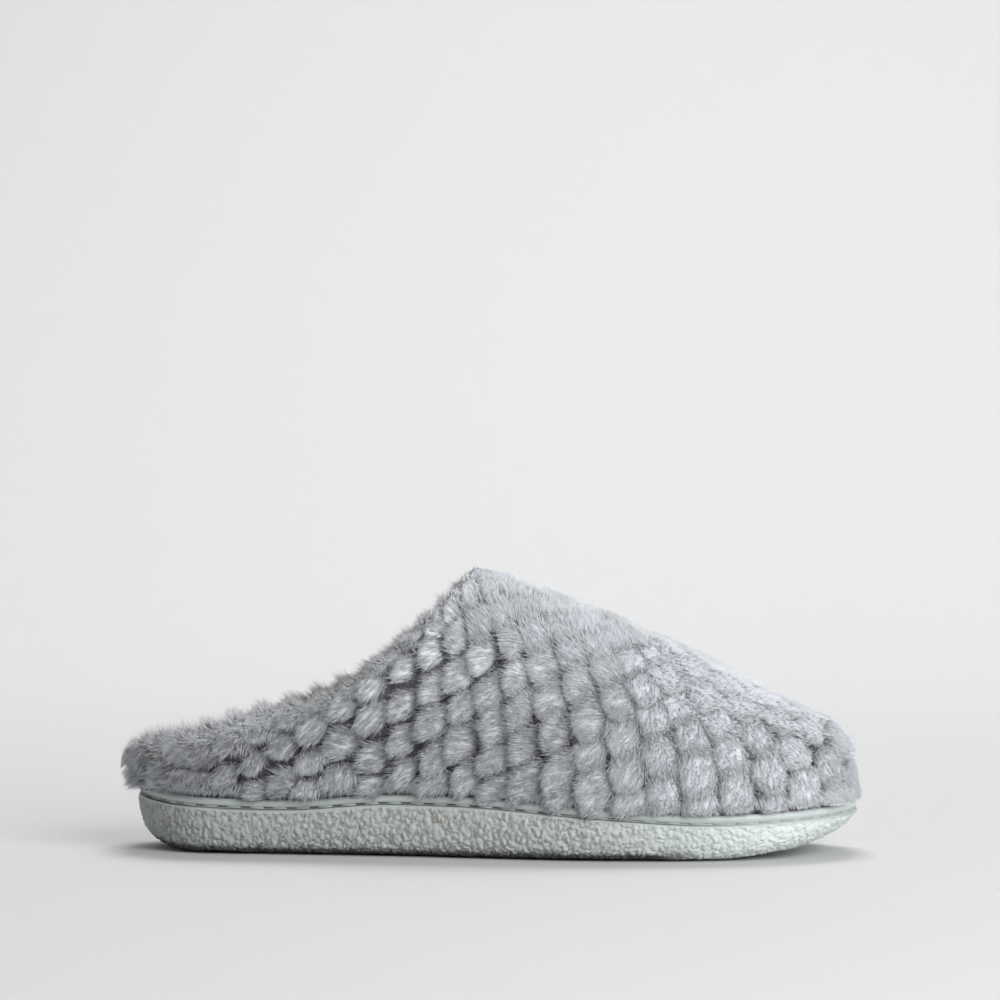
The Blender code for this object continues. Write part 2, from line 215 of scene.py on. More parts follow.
class Finish:
    """A material being built from nodes around one Principled shader."""

    def __init__(self, name, **constants):
        self.material = bpy.data.materials.new(name)
        self.material.use_nodes = True
        self.tree = self.material.node_tree
        self.shader = self.tree.nodes["Principled BSDF"]
        for socket, value in constants.items():
            self.shader.inputs[socket.replace("_", " ")].default_value = value

    def add(self, kind, settings, inputs):
        """A node of this kind. Returns its outputs by name."""
        node = self.tree.nodes.new("ShaderNode" + kind)
        for setting, value in settings.items():
            if setting == "stops":
                while len(node.color_ramp.elements) < len(value):
                    node.color_ramp.elements.new(0.5)
                for element, (position, colour) in zip(node.color_ramp.elements, value):
                    element.position, element.color = position, (*colour, 1)
            else:
                setattr(node, setting, value)
        for socket, value in inputs.items():
            self.feed(node.inputs[socket], value)
        return {output.name: Value(self, output) for output in node.outputs if output.enabled}

    def feed(self, socket, value):
        if isinstance(value, Value):
            self.tree.links.new(value.socket, socket)
        elif isinstance(value, tuple) and len(value) == 3 and socket.type == "RGBA":
            socket.default_value = (*value, 1)
        else:
            socket.default_value = value

    def mix(self, share, first, second):
        """A colour between two colours."""
        settings = {"data_type": "RGBA"}
        return self.add("Mix", settings, {"Factor": share, 6: first, 7: second})["Result"]

    def noise(self, size, detail=3.0):
        """Cloudy noise in the piece's own space, with its patches about this size."""
        place = self.add("TexCoord", {}, {})["Object"]
        inputs = {"Vector": place, "Scale": 1 / size, "Detail": detail}
        return self.add("TexNoise", {}, inputs)["Fac"]

    def attribute(self, name):
        return self.add("Attribute", {"attribute_name": name}, {})["Fac"]

    def bump(self, height, distance):
        inputs = {"Height": height, "Distance": distance, "Strength": 1.0}
        self.feed(self.shader.inputs["Normal"], self.add("Bump", {}, inputs)["Normal"])

    def colour(self, value):
        self.feed(self.shader.inputs["Base Color"], value)

    def roughness(self, value):
        self.feed(self.shader.inputs["Roughness"], value)


def tinted(colour, share):
    """A colour made darker or paler."""
    return tuple(c * share for c in colour)


rubber = Finish("crepe_rubber", IOR=1.45)
hollow, crepe = rubber.attribute("hollow"), rubber.attribute("crepe")
mottle = rubber.noise(6 * MM)
along_sole = rubber.add("SeparateXYZ", {}, {"Vector": rubber.add("TexCoord", {}, {})["Object"]})["X"]
# Painted light along the sole: the rubber is drawn darker at the heel and paler at the toe.
painted_light_stops = [(place, tinted(RUBBER, share)) for place, share in PAINTED_LIGHT_ALONG]
pale = rubber.add("ValToRGB", {"stops": painted_light_stops}, {"Fac": along_sole * PAINTED_LIGHT_SCALE + 0.5})["Color"]
pale = rubber.mix(mottle * 0.16, pale, RUBBER_HOLLOW)
# Painted shade in the crinkles' hollows.
crinkled = rubber.mix(hollow ** 2.5 * 0.9, pale, RUBBER_HOLLOW)
crinkled = rubber.mix((1 - crepe) * 0.8, crinkled, RUBBER_LIP)
# Over all this: painted shade in the groove and painted shadow under the edge.
rubber.colour(rubber.mix(rubber.attribute("dark"), crinkled, RUBBER_PAINTED_SHADE))
rubber.roughness(0.34 + crepe * 0.24)
rubber.bump(rubber.noise(0.7 * MM, 4.0) * (0.25 + crepe * 0.75), 0.12 * MM)
sole.data.materials.append(rubber.material)
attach(sole, "root")
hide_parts("outsole")

# Stitching: a thick pale thread that lies in the groove and holds the lip to the upper.
# Each stitch comes up, runs along the groove and goes down again, so a dark gap shows between stitches.
STITCH_PITCH = 8.2 * MM
STITCH_LENGTH = 5.4 * MM
STITCH_RADIUS = 0.75 * MM
STITCH_WAVE = 26 * MM  # stitches lie deeper and less deep over about this length
GROOVE_DEPTH = 0.2 * MM  # a point of the CAD sole this far below its neighbours lies in the groove
STEP = 1 * MM  # the way ahead is read over this length
THREAD = (0.38, 0.43, 0.415)

edit = bmesh.new()
edit.from_mesh(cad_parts["outsole"].data)
bmesh.ops.remove_doubles(edit, verts=edit.verts, dist=SAME_PLACE)
edit.normal_update()
groove = []
for vertex in edit.verts:
    around = [edge.other_vert(vertex).co for edge in vertex.link_edges]
    hollow_depth = (sum(around, Vector()) / len(around) - vertex.co).dot(vertex.normal)
    if hollow_depth > GROOVE_DEPTH and vertex.normal.dot(way_out(vertex.co)) > 0.5:
        groove.append(vertex.co.copy())
edit.free()
groove.sort(key=lambda point: math.atan2(point.y * 2.5, point.x))
groove = np.array(groove + groove[:1])


def run_along(points):
    """How far along a line each of its points lies."""
    return np.concatenate([[0], np.cumsum(np.linalg.norm(np.diff(points, axis=0), axis=1))])


run = run_along(groove)


def on_groove(places):
    """Points of the groove at these distances along it."""
    return np.stack([np.interp(places, run, axis) for axis in groove.T], axis=-1)


def mesh_piece(name, points, faces):
    """A smooth piece made from points and faces."""
    piece = bpy.data.objects.new(name, bpy.data.meshes.new(name))
    piece.data.from_pydata(points, [], faces)
    piece.data.shade_smooth()
    bpy.context.scene.collection.objects.link(piece)
    return piece


bpy.ops.object.select_all(action="DESELECT")
bpy.ops.mesh.primitive_uv_sphere_add(segments=10, ring_count=8, radius=STITCH_RADIUS)
one_stitch = bpy.context.object
bpy.ops.object.mode_set(mode="EDIT")
bpy.ops.mesh.select_all(action="SELECT")
bpy.ops.transform.rotate(value=math.pi / 2, orient_axis="Y", center_override=(0, 0, 0))
bpy.ops.object.mode_set(mode="OBJECT")
stitch_points = coordinates(one_stitch.data)
stitch_faces = [polygon.vertices[:] for polygon in one_stitch.data.polygons]
reach = STITCH_LENGTH / 2 - STITCH_RADIUS
stitch_points[:, 0] += np.sign(stitch_points[:, 0]) * reach
dip = (stitch_points[:, 0] / (STITCH_LENGTH / 2)) ** 2
stitch_points[:, 1] -= dip * STITCH_RADIUS * 0.8
bpy.data.objects.remove(one_stitch)

count = round(run[-1] / STITCH_PITCH)
points, faces = [], []
for place in np.arange(count) * run[-1] / count:
    at = on_groove(place)
    ahead = on_groove((place + STEP) % run[-1]) - at
    ahead /= np.linalg.norm(ahead)
    out = np.cross(ahead, (0, 0, 1))
    out /= np.linalg.norm(out)
    up = np.cross(out, ahead)
    depth = noise.noise(Vector((place / STITCH_WAVE, 0, 0)))
    at = at + out * (0.35 + 0.5 * depth) * MM
    base = len(points) * len(stitch_points)
    points.append(at + stitch_points @ np.array([ahead, out, up]))
    faces += [tuple(base + i for i in face) for face in stitch_faces]
stitching = mesh_piece("stitching", np.concatenate(points), faces)
only(stitching)
bpy.ops.object.mode_set(mode="EDIT")
bpy.ops.mesh.select_all(action="SELECT")
bpy.ops.mesh.normals_make_consistent(inside=False)
bpy.ops.object.mode_set(mode="OBJECT")
thread = Finish("waxed_thread", Roughness=0.6)
fibre = thread.noise(0.35 * MM)
thread.colour(thread.mix(fibre, tinted(THREAD, 0.8), THREAD))
thread.bump(fibre, 0.1 * MM)
stitching.data.materials.append(thread.material)
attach(stitching, "root")

# Insole: a foam pad covered in short grey pile, laid in the sole's tray inside the upper.
# It is dished for the foot, and its pile is a little warmer than the plush outside.
LINING = (0.33, 0.31, 0.315)
LINING_DARK, LINING_PALE = tinted(LINING, 0.62), tinted(LINING, 1.25)
insole = cad_copy("insole", "insole_pad")
rounded(insole, 2, 40)
insole.data.shade_smooth()
pile = Finish("short_pile", Roughness=0.95, Sheen_Weight=0.4, Sheen_Roughness=0.5)
clumps = pile.noise(2.2 * MM, 4.0)
pile.colour(pile.mix(clumps, LINING_DARK, LINING_PALE))
pile.bump(clumps + pile.noise(0.6 * MM) * 0.4, 1.2 * MM)
insole.data.materials.append(pile.material)
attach(insole, "root")
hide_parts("insole")

# Upper's backing: the knitted ground of the plush with its lining, lasted over the foot and into the tray.
# It is the CAD upper drawn in under the pile, so it shows as the dark ground between tufts,
# its darkness painted shade deep in the pile, and inside the collar as a lining of warm grey fleece.
PILE_DEPTH = 2.6 * MM
THINNEST_GROUND = 2.6 * MM
# The ground between tufts is drawn dark: painted shade deep in the pile.
GROUND_PAINTED_SHADE = (0.085, 0.08, 0.086)
GROUND_LESS_PAINTED_SHADE = (0.2, 0.195, 0.205)  # less painted shade: under the close pile of the toe and instep, and higher up
HEEL_ROOM, TOE_ROOM = 34 * MM, 40 * MM  # from the upper's ends to those of the foot space's middle line
HEART_HEIGHT = 30 * MM
COLLAR_LOWEST = 28 * MM  # the collar's rim lies higher than this, and the upper's foot lower
HIGH = (0.045, 0.08)  # the pile and its ground are painted paler between these heights: painted light from above
ZONES = {  # along the slipper, in metres: where each starts, and where it is full
    "toe": (0.025, 0.075),
    "toe front": (0.093, 0.112),
    "instep": (-0.035, -0.01),
    "rear": (0.005, -0.05),
    "heel": (-0.05, -0.095),
    "back": (-0.1, -0.12),
}


def zone(name, x):
    """How far a place along the slipper lies in one of its zones."""
    return smoothstep(*ZONES[name], x)


def close_lying(x, upness):
    """How far the pile lies close and smooth: over the toe, and over the instep behind it."""
    toe = zone("toe", x)
    return toe, smoothstep(0.3, 0.8, upness) * zone("instep", x) * (1 - toe)


backing = cad_copy("upper", "upper_backing")
heel_end, toe_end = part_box("upper")[0].x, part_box("upper")[1].x
edit = bmesh.new()
edit.from_mesh(backing.data)
inside_layer = edit.verts.layers.float.new("inside")
painted_light_layer = edit.verts.layers.float.new("pale")
edit.normal_update()
whole_upper = BVHTree.FromBMesh(edit)


def heart(point):
    """The middle of the foot space nearest to a point."""
    x = min(max(point.x, heel_end + HEEL_ROOM), toe_end - TOE_ROOM)
    return Vector((x, 0, HEART_HEIGHT))


def faces_foot(point):
    """Whether nothing of the upper lies between a point of it and the middle of the foot space."""
    aim = heart(point) - point
    step = aim.normalized()
    return whole_upper.ray_cast(point + step * 0.5 * MM, step, aim.length)[0] is None


inner = {vertex for vertex in edit.verts if faces_foot(vertex.co)}
inner_faces = [[v.index for v in face.verts] for face in edit.faces if inner.issuperset(face.verts)]
lining_tree = BVHTree.FromPolygons([v.co.copy() for v in edit.verts], inner_faces)
pile_top, pile_foot = {}, {}
for vertex in edit.verts:
    if vertex in inner:
        vertex[inside_layer] = 1.0
        continue
    pile_top[vertex.index] = np.array(vertex.co)
    foot = lining_tree.find_nearest(vertex.co)[0]
    pile_foot[vertex.index] = np.array(foot)
    toe, top = close_lying(vertex.co.x, (vertex.co - foot).normalized().z)
    # Painted light on the ground: less painted shade under the close pile, and paler higher up.
    vertex[painted_light_layer] = max(toe, 0.6 * top, 0.55 * smoothstep(*HIGH, vertex.co.z))
pile_edges = [(a.index, b.index) for a, b in (edge.verts for edge in edit.edges)
              if a.index in pile_top and b.index in pile_top]
rim = [edge for edge in edit.edges if sum(v in inner for v in edge.verts) == 1]
rim = [edge for edge in rim if min(v.co.z for v in edge.verts) > COLLAR_LOWEST]
rim_inner = {v for edge in rim for v in edge.verts if v in inner}


def under_rim(vertex):
    """Whether the rim runs well above a point of it, which then belongs to the lining below."""
    return any(edge.other_vert(vertex) in rim_inner and edge.other_vert(vertex).co.z > vertex.co.z + 4 * MM
               for edge in vertex.link_edges)


rim_inner = sorted(vertex.index for vertex in rim_inner if not under_rim(vertex))
rim_outer = sorted({v.index for edge in rim for v in edge.verts if v not in inner})
rim_bead = np.array([backing.data.vertices[i].co[:] for i in rim_inner])
rim_edge = np.array([backing.data.vertices[i].co[:] for i in rim_outer])
edit.verts.ensure_lookup_table()
rim_wall, rim_thick = [], []
for i, bead_point in zip(rim_inner, rim_bead):
    around = [edge.other_vert(edit.verts[i]) for edge in edit.verts[i].link_edges]
    outside = [np.array(v.co) for v in around if v not in inner] or [bead_point]
    lining = [np.array(v.co) for v in around if v in inner and v.index not in rim_inner] or [bead_point]
    outside, lining = np.mean(outside, axis=0), np.mean(lining, axis=0)
    rim_wall.append((outside + lining) / 2)
    rim_thick.append(np.linalg.norm(outside - lining))
for vertex in edit.verts:
    if vertex.index in pile_top:
        foot = Vector(pile_foot[vertex.index])
        stand = vertex.co - foot
        vertex.co = foot + stand.normalized() * max(THINNEST_GROUND, stand.length - PILE_DEPTH)
edit.to_mesh(backing.data)
edit.free()
rounded(backing, 1, 181)
backing.data.shade_smooth()
ground = Finish("plush_ground", Roughness=0.95, Sheen_Weight=0.3, Sheen_Roughness=0.5)
fleece = ground.noise(1.8 * MM, 4.0)
inside = ground.attribute("inside")
lining_colour = ground.mix(fleece, LINING_DARK, LINING_PALE)
# The ground: painted shade between tufts, less of it under the close pile and higher up.
ground_colour = ground.mix(ground.attribute("pale"), GROUND_PAINTED_SHADE, GROUND_LESS_PAINTED_SHADE)
ground.colour(ground.mix(inside, ground_colour, lining_colour))
ground.bump(fleece, 1.0 * MM)
backing.data.materials.append(ground.material)
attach(backing, "root")
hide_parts("upper")

# Plush tufts: long pile knitted in staggered tufts, each a small brush of fine hair combed with the nap.
# On the quarters the nap runs back and down to the heel, on top and over the toe it follows the columns.
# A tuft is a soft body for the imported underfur, with closed thin spikes for the hair that lies over it.
CROWN = 5.6 * MM  # a tuft's crown stands higher than this over the lining
WHOLE_TUFT = 6  # points of the CAD upper on a whole tuft's crown
CUT_TUFT = 3  # and at most on one that an edge cuts
TIP_TUFT = Vector((0.1215, 0.006, ABOVE))
TIP_TUFT_HEIGHT = 6.5 * MM
HALF_LENGTH = 5.9 * MM  # of a tuft, along its column
LEAST_HALF_WIDTH = 3.9 * MM
JITTER = 0.55 * MM  # how far a tuft stands from its place
BY_RIM = 12 * MM  # a tuft this near to the collar's edge is kept behind it
HEEL_PIECE_END, TOE_PIECE_START = -0.045, 0.06
HEM_DROP = 6.2 * MM  # how far under the groove the pile may reach
TOE_HEM_RISE = 9.2 * MM  # and how much higher it ends at the toe
BODY_SIDES = 12
BODY_RINGS = (0.55, 0.85, 1.0)
BODY_FOOT = 0.93  # the body's width at its foot, as a share of its widest
BODY_FOOT_HEIGHT = 3.2 * MM  # over the lining
BODY_SINK = 1.4 * MM  # a body's top lies this far under the CAD tuft
BODY_DROP = 1.6 * MM  # how far the body's top falls to its rim
TILT = 1.4 * MM  # a tuft stands this much higher at its tips than in its middle
HAIRS_PER_MM2 = 3.2
HAIR_WIDTH = 0.26 * MM
HAIR_LENGTH = 4.5 * MM
HAIR_TOP = 1.4 * MM  # the pile is sheared at this height over the CAD tuft
HAIRS_IN_LOCK = 8
PEAK = 99.6 * MM  # the pile is rounded off at this height over the throat
UNDER_PEAK = 1.6 * MM  # soft bodies end at least this far below it
LAST_COOL, FIRST_WARM = 0.68, 0.72  # on the colour scale, which has cool shades first
rng = np.random.default_rng(11)


def unit(vectors):
    return vectors / np.maximum(np.linalg.norm(vectors, axis=-1, keepdims=True), 1e-9)


def cool_only(shades):
    return np.clip(shades, 0.02, LAST_COOL - 0.01)


def warm_only(shades):
    return np.clip(shades, FIRST_WARM, 0.99)


def finder(points):
    """A tree that finds the nearest of some points."""
    tree = kdtree.KDTree(len(points))
    for i, point in enumerate(points):
        tree.insert(point, i)
    tree.balance()
    return tree


plush = Finish("long_plush", Roughness=0.8, Sheen_Weight=0.1, Sheen_Roughness=0.4)
chart = plush.add("UVMap", {"uv_map": "OFBake"}, {})["UV"]
chart = plush.add("SeparateXYZ", {}, {"Vector": chart})
# Cool greys first, then warmer, darker greys: the lining's pile, and the collar's painted shade.
shade_stops = [(0.0, (0.55, 0.572, 0.6)), (0.35, (0.892, 0.925, 0.965)), (0.69, (0.948, 0.975, 1.0)),
               (0.71, (0.30, 0.275, 0.27)), (1.0, (0.66, 0.625, 0.615))]
hair_colour = plush.add("ValToRGB", {"stops": shade_stops}, {"Fac": chart["X"]})["Color"]
# From root to tip: the dark root end is painted shade deep in the pile.
root_stops = [(0.0, (0.085, 0.077, 0.08)), (0.25, (0.34, 0.328, 0.33)), (0.6, (0.86, 0.855, 0.855)),
              (1.0, (1.0, 1.0, 1.0))]
depth_colour = plush.add("ValToRGB", {"stops": root_stops}, {"Fac": chart["Y"]})["Color"]
multiply = {"data_type": "RGBA", "blend_type": "MULTIPLY"}
plush.colour(plush.add("Mix", multiply, {"Factor": 1.0, 6: hair_colour, 7: depth_colour})["Result"])


def plush_piece(name, points, faces, chart):
    """A piece of plush. Its chart gives each point a shade and a place from root to tip."""
    piece = mesh_piece(name, points, faces)
    corners = np.empty(len(piece.data.loops), dtype=np.int32)
    piece.data.loops.foreach_get("vertex_index", corners)
    piece.data.uv_layers.new(name="OFBake").data.foreach_set("uv", chart[corners].ravel())
    piece.data.materials.append(plush.material)
    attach(piece, "root")


class Pile:
    """Hairs gathered for one piece: where they start and end, how thick they are, and their colours."""

    def __init__(self):
        self.rows = []

    def add(self, roots, tips, shades, root_tone=0.24, tip_tone=0.99, thick=1.0):
        """Adds hairs. A tone is a place on the scale from root to tip."""
        row = np.empty((len(roots), 10))
        row[:, :3], row[:, 3:6], row[:, 7] = roots, tips, shades
        row[:, 6] = HAIR_WIDTH * thick * rng.uniform(0.7, 1.3, len(roots))
        row[:, 8], row[:, 9] = root_tone, tip_tone
        self.rows.append(row)

    def make(self, name, slot="upper"):
        rows = np.concatenate(self.rows)
        roots, tips, widths = rows[:, :3], rows[:, 3:6], rows[:, 6:7]
        shades, root_tones, tip_tones = rows[:, 7], rows[:, 8], rows[:, 9]
        axis = unit(tips - roots)
        side = unit(np.cross(axis, rng.normal(size=axis.shape)))
        other = np.cross(axis, side)
        turns = np.arange(3) * 2 * math.pi / 3
        ring = [roots + (side * math.cos(t) + other * math.sin(t)) * widths / 2 for t in turns]
        points = np.stack([*ring, tips], axis=1).reshape(-1, 3)
        pattern = np.array([(0, 1, 3), (1, 2, 3), (2, 0, 3), (0, 2, 1)])
        faces = (np.arange(len(rows))[:, None, None] * 4 + pattern).reshape(-1, 3)
        across = np.stack([shades - 0.004, shades, shades + 0.004, shades], axis=1)
        up = np.stack([root_tones, root_tones - 0.02, root_tones, tip_tones], axis=1)
        plush_piece(name, points, faces, np.column_stack([across.ravel(), up.ravel()]))


def locked(tips, spots, gather):
    """Draws hair tips together into locks. Returns the tips and each hair's lock."""
    leaders = rng.integers(0, len(tips), max(2, len(tips) // HAIRS_IN_LOCK))
    lock = ((spots[:, None] - spots[leaders][None]) ** 2).sum(axis=2).argmin(axis=1)
    return tips + (tips[leaders][lock] - tips) * gather, lock


def inside_rim(points, centre, edge):
    """Points of a tuft, drawn back where they pass the collar's edge nearest to its centre."""
    room = np.linalg.norm(edge - centre)
    towards = (edge - centre) / room
    return points - np.outer(np.maximum((points - centre) @ towards - room + 0.8 * MM, 0), towards)


def held(points, height):
    """Hair tips by the collar, drawn back to within this height of the CAD upper."""
    kept = np.array(points)
    for i, point in enumerate(kept):
        place, facing, _, gap = whole_upper.find_nearest(point)
        if gap > height and (Vector(point) - place).dot(facing) > 0:
            kept[i] = place + (Vector(point) - place) * (height / gap)
    return kept


def squared(angles, squareness):
    """How far a round shape reaches at each angle: 2 is a circle, and more is squarer."""
    corners = np.abs(np.cos(angles)) ** squareness + np.abs(np.sin(angles)) ** squareness
    return corners ** (-1 / squareness)


def piece_of(place):
    """The piece that the hair of a tuft belongs to."""
    if place[0] < HEEL_PIECE_END:
        return "plush_heel"
    if place[0] > TOE_PIECE_START:
        return "plush_toe"
    return "plush_outer_side" if place[1] < 0 else "plush_inner_side"


# Tufts are found on the CAD upper as its separate crowns.
crowns = {i for i in pile_top if np.linalg.norm(pile_top[i] - pile_foot[i]) > CROWN} - set(rim_outer)
group = {i: i for i in crowns}


def leader(i):
    while group[i] != i:
        i = group[i]
    return i


for a, b in pile_edges:
    if a in crowns and b in crowns:
        group[leader(a)] = leader(b)
members = {}
for i in sorted(crowns):
    members.setdefault(leader(i), []).append(i)
tufts = []
for indices in members.values():
    points = np.array([pile_top[i] for i in indices])
    stand = points - np.array([pile_foot[i] for i in indices])
    normal = unit(stand.mean(axis=0))
    flat = points - points.mean(axis=0)
    flat -= np.outer(flat @ normal, normal)
    axes = np.linalg.svd(flat)[2]
    tufts.append({
        "centre": points.mean(axis=0), "normal": normal, "points": len(points), "column": axes[0],
        "reach": np.abs(flat @ axes[1]).max(), "height": np.linalg.norm(stand, axis=1).mean(),
    })
whole_tufts = [tuft for tuft in tufts if tuft["points"] == WHOLE_TUFT]
# The columns part at the toe's tip, and one more tuft closes the gap there.
tip, facing, _, _ = whole_upper.ray_cast(TIP_TUFT, Vector((0, 0, -1)))
tufts.append({
    "centre": np.array(tip), "normal": np.array(facing), "points": CUT_TUFT + 1, "height": TIP_TUFT_HEIGHT,
})
find_whole = finder([tuft["centre"] for tuft in whole_tufts])
find_groove = finder(groove)

piles = {name: Pile() for name in ("plush_heel", "plush_outer_side", "plush_inner_side", "plush_toe")}
body_points, body_faces, body_chart = [], [], []
for tuft in tufts:
    centre = tuft["centre"]
    model = whole_tufts[find_whole.find(centre)[1]]
    uncut = tuft["points"] > CUT_TUFT
    normal = tuft["normal"] if uncut else model["normal"]  # a tuft cut by an edge lies as the next whole one
    toe, top = close_lying(centre[0], normal[2])
    toe_front, rear, heel, back = (zone(name, centre[0]) for name in ("toe front", "rear", "heel", "back"))
    edge = rim_edge[np.linalg.norm(rim_edge - centre, axis=1).argmin()]
    by_rim = np.linalg.norm(edge - centre) < BY_RIM
    low_back = back * smoothstep(0.036, 0.03, centre[2])
    calm = max(toe, top)
    # Painted light: the pile is drawn paler higher up, where light from above falls.
    lit_from_above = smoothstep(*HIGH, centre[2]) * (1 - calm)

    # The nap, and the tuft's own axes: along its column, and on the rear half leaning with the nap.
    side_nap = np.array([-1.0, 0, -0.4]) * (1 - rear) + np.array([-0.7, 0, -0.7]) * rear
    along = unit(model["column"] - normal * (model["column"] @ normal))
    along *= 1 if along[2] > 0 else -1
    upright = np.array([0.4, 0, 1.0]) - normal * (normal @ (0.4, 0, 1.0))
    along = unit(along * (1 - rear) + unit(upright) * rear)
    across = np.cross(along, normal)
    nap = side_nap * (1 - toe) * (1 - top) + along * top + -along * toe
    nap = unit(nap - normal * (nap @ normal))
    turn = rng.normal(0, math.radians(18 - 8 * calm + 10 * rear))
    nap = nap * math.cos(turn) + np.cross(normal, nap) * math.sin(turn)
    twist = rng.normal(0, math.radians(9 - 5 * calm))
    along, across = (along * math.cos(twist) + across * math.sin(twist),
                     across * math.cos(twist) - along * math.sin(twist))
    size = rng.uniform(0.93, 1.08)
    full = 1.0 if uncut else 0.72 + 0.28 * toe * smoothstep(0.3, 0.6, normal[2])
    half_along = HALF_LENGTH * full * size * rng.uniform(0.97, 1.12)
    half_along *= 1 + 0.35 * toe - 0.25 * toe_front + 0.2 * top - 0.08 * rear - 0.08 * heel
    half_across = max(LEAST_HALF_WIDTH, model["reach"] * 3) * size
    half_across *= 0.875 + rng.uniform(-0.05, 0.05) * (1 - 0.6 * calm)
    level = smoothstep(0.7, 0.95, normal[2])
    half_across *= 1 - 0.04 * rear - 0.11 * heel - 0.08 * top + 0.2 * top * level - 0.03 * toe
    slant = (0.45 - 0.35 * calm) * (1 - back) * np.sign(across[0])  # a tuft's ends rise to the toe
    wide, long = (across + along * slant) * half_across, along * half_along
    squareness = rng.uniform(2.5, 3.4) + 0.8 * calm
    jitter = JITTER * (1 - 0.5 * calm)
    crest = 0.6 * smoothstep(0.06, 0.08, centre[0]) * smoothstep(0.1, 0.085, centre[0])
    crest -= 1.2 * smoothstep(0.0, 0.012, centre[0]) * smoothstep(0.07, 0.05, centre[0])
    centre = centre + normal * crest * smoothstep(0.5, 0.9, normal[2]) * MM
    centre = centre - nap * 0.5 * MM + (along * rng.normal() + across * rng.normal()) * jitter
    # The tuft's shade: painted shade at the heel and over the toe and top, which the lamps light most,
    # painted light higher up, and a random tone of its own.
    tuft_shade = 0.38 - 0.11 * toe - 0.09 * top - 0.12 * heel + 0.1 * lit_from_above
    tuft_shade += rng.normal(0, 0.035 + 0.04 * heel)
    tuft_shade -= 0.02 * toe_front
    tilt = TILT * (1 - 0.7 * calm)
    deep = tuft["height"] - BODY_FOOT_HEIGHT
    hem = groove[find_groove.find(centre)[1]][2] + TOE_HEM_RISE * toe - HEM_DROP

    angles = np.arange(BODY_SIDES) * 2 * math.pi / BODY_SIDES
    outline = squared(angles, squareness)
    outline *= 1 + rng.normal(0, 0.06, BODY_SIDES)
    ring = np.outer(np.cos(angles) * outline, wide) + np.outer(np.sin(angles) * outline, long)
    nap_reach = np.abs(ring @ nap).max()
    base = len(body_points)
    body_top = centre - normal * BODY_SINK
    body_top[2] = min(body_top[2], PEAK - UNDER_PEAK)
    body_points.append(body_top)
    # The body is drawn darker towards its foot, painted shade deep in the pile, and paler over the toe and
    # higher up.
    body_chart.append((tuft_shade, 0.5 + 0.1 * calm + 0.15 * lit_from_above))
    levels = [(r, BODY_SINK + BODY_DROP * r ** 5, 0.5 - 0.3 * r ** 3) for r in BODY_RINGS]
    levels.append((BODY_FOOT, deep, 0.03))
    for reach, sink, tone in levels:
        rise = tilt * (ring @ nap) / nap_reach * reach - rng.normal(0, 0.12 * MM, BODY_SIDES)
        level_points = centre + ring * reach - np.outer(sink - rise * (sink < deep), normal)
        level_points = inside_rim(level_points, centre, edge) if by_rim else level_points
        level_points[:, 2] = np.clip(level_points[:, 2], hem + 0.6 * MM, PEAK - 1.8 * MM)
        body_points += list(level_points)
        tone = tone + 0.12 * toe + 0.12 * lit_from_above
        body_chart += [(tuft_shade + 0.01 * math.cos(angle), tone) for angle in angles]
    body_points.append(centre - normal * deep)
    body_chart.append((tuft_shade, 0.02))
    last = len(body_points) - 1
    for k in range(BODY_SIDES):
        n = (k + 1) % BODY_SIDES
        body_faces.append((base, base + 1 + k, base + 1 + n))
        for step in range(len(levels) - 1):
            low = base + 1 + step * BODY_SIDES
            high = low + BODY_SIDES
            body_faces.append((low + k, high + k, high + n, low + n))
        body_faces.append((last, last - BODY_SIDES + n, last - BODY_SIDES + k))

    # Hair over the body: most of it lies along the nap, the rest stands up, and the tips are sheared level.
    count = int(HAIRS_PER_MM2 * (1 - 0.06 * toe) * 3.6 * half_along * half_across / MM / MM)
    spots = rng.uniform(-1, 1, (count * 2, 2))
    spots = spots[(np.abs(spots) ** squareness).sum(axis=1) < 1][:count]
    radius = (np.abs(spots * (1, 1 - 0.5 * calm)) ** squareness).sum(axis=1) ** (1 / squareness)
    lateral = np.outer(spots[:, 0], wide) + np.outer(spots[:, 1], long)
    ahead = lateral @ nap / nap_reach
    sink = BODY_SINK + 0.35 * MM + BODY_DROP * radius ** 5 - tilt * ahead
    roots = centre + lateral - nap * 1.2 * MM - np.outer(sink, normal)
    stands = rng.uniform(size=len(roots)) < 0.2 + 0.3 * radius ** 4
    lying = np.where(stands, 0.0, 1.0)[:, None] * (1 - 0.5 * heel - 0.5 * calm)
    lean = nap * (0.35 + 0.65 * lying) + unit(lateral) * (0.4 * (1 - 0.7 * calm) * radius ** 2)[:, None]
    lean = lean + normal * (0.85 - 0.48 * lying + 0.9 * back)
    lean = unit(lean + rng.normal(0, 0.14, lean.shape))
    lengths = HAIR_LENGTH * rng.uniform(0.65, 1.3, (len(roots), 1)) * (0.75 + 0.35 * lying)
    trimmed = 1 - 0.2 * (1 - calm) * smoothstep(0.2, 1.0, ahead)
    lengths *= (1 + 0.1 * rear + 0.6 * low_back) * trimmed[:, None]
    tips, lock = locked(roots + lean * lengths, spots, 0.3 + 0.25 * rear)
    shear = HAIR_TOP + tilt * ahead + 2.6 * MM * low_back - 0.8 * MM * radius ** 4
    shear -= (0.7 + 1.3 * radius ** 2) * MM * toe_front
    proud = (tips - centre) @ normal - shear - rng.normal(0, (0.25 - 0.1 * toe_front) * MM, len(tips))
    tips = tips - np.outer(np.maximum(proud, 0) * 0.9, normal)
    if by_rim:
        roots = inside_rim(roots, centre, edge)
        tips = held(inside_rim(tips, centre, edge), (0.7 + 2.3 * rear) * MM)
    tips[:, 2] = np.minimum(tips[:, 2], PEAK - rng.uniform(0, 0.8, len(tips)) * MM)
    tips[:, 2] = np.maximum(tips[:, 2], hem + rng.uniform(-0.5, 0.7, len(tips)) * MM)
